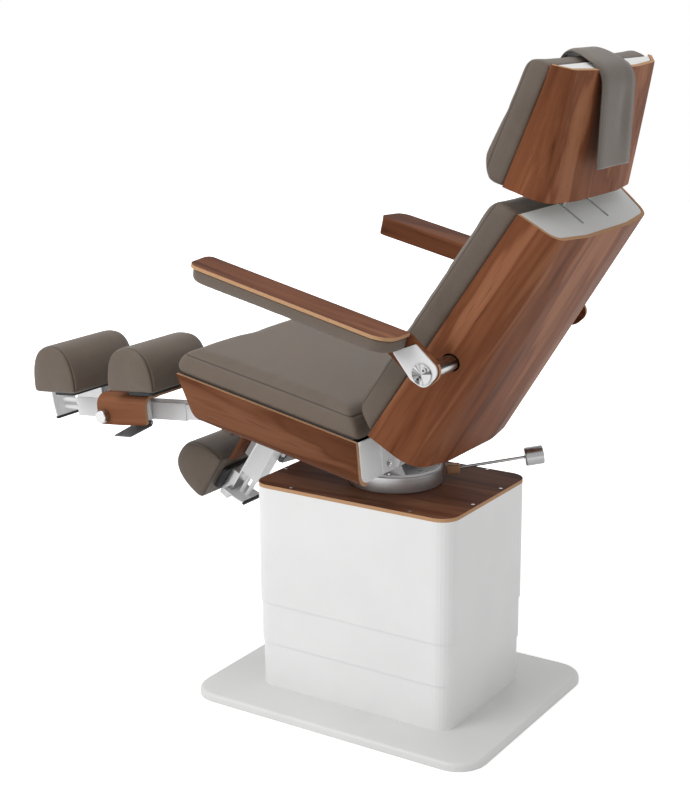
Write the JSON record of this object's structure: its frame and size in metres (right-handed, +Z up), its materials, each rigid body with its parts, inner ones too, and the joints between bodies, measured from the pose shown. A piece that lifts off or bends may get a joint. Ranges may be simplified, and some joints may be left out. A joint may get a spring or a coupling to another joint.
{
  "type": "podiatry chair",
  "caption": "Podiatry treatment chair on a telescopic lifting column, with swivel seat, reclining back, adjustable headrest, swing-up armrests and two separate sliding leg rests.",
  "frame": {"origin": "middle of the lifting column on the floor", "axes": "+Z up, the sitter faces -Y, +X is the sitter's left"},
  "size_m": [0.922, 1.5686, 1.5945],
  "materials": {
    "casing_white": "satin",
    "cover_white": "satin",
    "column_profile": "anodised",
    "bright_steel": "brushed",
    "dark_steel": "powder coat",
    "motor_black": "matt",
    "walnut": "satin lacquer",
    "liner_grey": "satin",
    "leg_white": "powder coat",
    "brass_block": "satin",
    "upholstery": "soft grain"
  },
  "bodies": {
    "base": {"base_cover": "cover_white", "casing_lower": "casing_white", "column_lower": "column_profile", "lift_motor": "motor_black"},
    "lift_middle": {"casing_middle": "casing_white", "column_middle": "column_profile"},
    "lift_top": {"casing_upper": "casing_white", "column_upper": "column_profile", "top_plate": "walnut", "top_plate_screws": "bright_steel", "turntable_ring": "bright_steel", "brake_block": "brass_block"},
    "brake": {"brake_lever": "bright_steel"},
    "swivel": {"swivel_chassis": "casing_white", "swivel_screws": "bright_steel"},
    "seat": {"seat_frame": "dark_steel", "seat_shell": "walnut", "seat_end_plate": "liner_grey", "hinge_bolts": "bright_steel", "seat_pivot_pins": "bright_steel", "seat_cushion": "upholstery", "recline_actuator": "motor_black"},
    "recline_rod": {"recline_rod": "bright_steel"},
    "back": {"back_frame": "dark_steel", "back_shell": "walnut", "back_core": "liner_grey", "back_cushion": "upholstery"},
    "head_carriage": {"head_carriage": "dark_steel"},
    "head": {"head_rods": "bright_steel", "head_shell": "walnut", "head_core": "liner_grey", "head_cushion": "upholstery", "head_strap": "upholstery", "neck_pillow": "upholstery"},
    "left_arm": {"left_arm_rest": "walnut", "left_arm_pad": "upholstery", "left_arm_plate": "leg_white", "left_arm_shaft": "bright_steel"},
    "left_leg": {"left_leg_arm": "leg_white"},
    "left_calf": {"left_leg_slide": "leg_white", "left_calf_bracket": "walnut", "left_calf_pad": "upholstery"},
    "left_end": {"left_foot_slide": "leg_white"},
    "left_foot": {"left_foot_carrier": "bright_steel", "left_foot_pad": "upholstery"},
    "left_knob": {"left_leg_knob": "bright_steel"},
    "left_paddle": {"left_leg_paddle": "dark_steel"},
    "right_arm": {"right_arm_rest": "walnut", "right_arm_pad": "upholstery", "right_arm_plate": "leg_white", "right_arm_shaft": "bright_steel"},
    "right_leg": {"right_leg_arm": "leg_white"},
    "right_calf": {"right_leg_slide": "leg_white", "right_calf_bracket": "walnut", "right_calf_pad": "upholstery"},
    "right_end": {"right_foot_slide": "leg_white"},
    "right_foot": {"right_foot_carrier": "bright_steel", "right_foot_pad": "upholstery"},
    "right_knob": {"right_leg_knob": "bright_steel"},
    "right_paddle": {"right_leg_paddle": "dark_steel"}
  },
  "joints": [
    {"name": "lift_lower", "type": "slide", "parent": "base", "child": "lift_middle", "axis": [0, 0, 1], "range_m": [-0.107, 0.095]},
    {"name": "lift_upper", "type": "slide", "parent": "lift_middle", "child": "lift_top", "axis": [0, 0, 1], "range_m": [-0.107, 0.095]},
    {"name": "brake_turn", "type": "hinge", "parent": "lift_top", "child": "brake", "pos_m": [-0.08305, 0.13261, 0.576], "axis": [0, 0, 1], "range_deg": [-15, 15]},
    {"name": "swivel", "type": "hinge", "parent": "lift_top", "child": "swivel", "pos_m": [0, 0.014, 0.588], "axis": [0, 0, 1], "range_deg": [-90, 90]},
    {"name": "seat_tilt", "type": "hinge", "parent": "swivel", "child": "seat", "pos_m": [0, 0.02168, 0.6498], "axis": [1, 0, 0], "range_deg": [-2, 11]},
    {"name": "recline_drive", "type": "slide", "parent": "seat", "child": "recline_rod", "axis": [0, 0.9826, -0.1857], "range_m": [-0.042, 0.007]},
    {"name": "back_recline", "type": "hinge", "parent": "seat", "child": "back", "pos_m": [0, 0.11404, 0.733], "axis": [1, 0, 0], "range_deg": [-48, 8]},
    {"name": "head_swing", "type": "hinge", "parent": "back", "child": "head_carriage", "pos_m": [0, 0.40633, 1.10686], "axis": [1, 0, 0], "range_deg": [-14, 0]},
    {"name": "head_height", "type": "slide", "parent": "head_carriage", "child": "head", "axis": [0, 0.3891, 0.9212], "range_m": [0, 0.09]},
    {"name": "left_arm_swing", "type": "hinge", "parent": "back", "child": "left_arm", "pos_m": [0.36, 0.302, 0.93], "axis": [1, 0, 0], "range_deg": [-110, 5]},
    {"name": "right_arm_swing", "type": "hinge", "parent": "back", "child": "right_arm", "pos_m": [-0.36, 0.302, 0.93], "axis": [1, 0, 0], "range_deg": [-110, 5]},
    {"name": "left_leg_swing", "type": "hinge", "parent": "seat", "child": "left_leg", "pos_m": [0.092, -0.35229, 0.71192], "axis": [1, 0, 0], "range_deg": [-10, 70]},
    {"name": "left_calf_slide", "type": "slide", "parent": "left_leg", "child": "left_calf", "axis": [0, -0.9959, -0.0906], "range_m": [-0.08, 0.01]},
    {"name": "left_end_slide", "type": "slide", "parent": "left_calf", "child": "left_end", "axis": [0, -0.9959, -0.0906], "range_m": [-0.141, 0.004]},
    {"name": "left_foot_slide", "type": "slide", "parent": "left_calf", "child": "left_foot", "axis": [0, -0.9959, -0.0906], "range_m": [-0.035, 0.003]},
    {"name": "left_knob_turn", "type": "hinge", "parent": "left_calf", "child": "left_knob", "pos_m": [0.222, -0.71995, 0.65837], "axis": [1, 0, 0], "range_deg": [-180, 180]},
    {"name": "left_paddle_lift", "type": "hinge", "parent": "left_calf", "child": "left_paddle", "pos_m": [0.1245, -0.67468, 0.62434], "axis": [0, -0.9959, -0.0906], "range_deg": [0, 18], "stiffness_Nm_per_rad": 0.6, "springref_deg": -5.73},
    {"name": "right_leg_swing", "type": "hinge", "parent": "seat", "child": "right_leg", "pos_m": [-0.092, -0.35229, 0.71192], "axis": [1, 0, 0], "range_deg": [-30, 19]},
    {"name": "right_calf_slide", "type": "slide", "parent": "right_leg", "child": "right_calf", "axis": [0, -0.5358, -0.8443], "range_m": [0, 0.145]},
    {"name": "right_end_slide", "type": "slide", "parent": "right_calf", "child": "right_end", "axis": [0, -0.5358, -0.8443], "range_m": [0, 0.145]},
    {"name": "right_foot_slide", "type": "slide", "parent": "right_calf", "child": "right_foot", "axis": [0, -0.5358, -0.8443], "range_m": [0, 0.038]},
    {"name": "right_knob_turn", "type": "hinge", "parent": "right_calf", "child": "right_knob", "pos_m": [-0.222, -0.46186, 0.50194], "axis": [1, 0, 0], "range_deg": [-180, 180]},
    {"name": "right_paddle_lift", "type": "hinge", "parent": "right_calf", "child": "right_paddle", "pos_m": [-0.1245, -0.40727, 0.51704], "axis": [0, 0.5358, 0.8443], "range_deg": [0, 18], "stiffness_Nm_per_rad": 0.6, "springref_deg": -5.73}
  ],
  "couplings": [
    {"joint": "lift_upper", "follows": "lift_lower", "ratio": 1},
    {"joint": "recline_drive", "follows": "back_recline", "m_per_rad": 0.048}
  ]
}
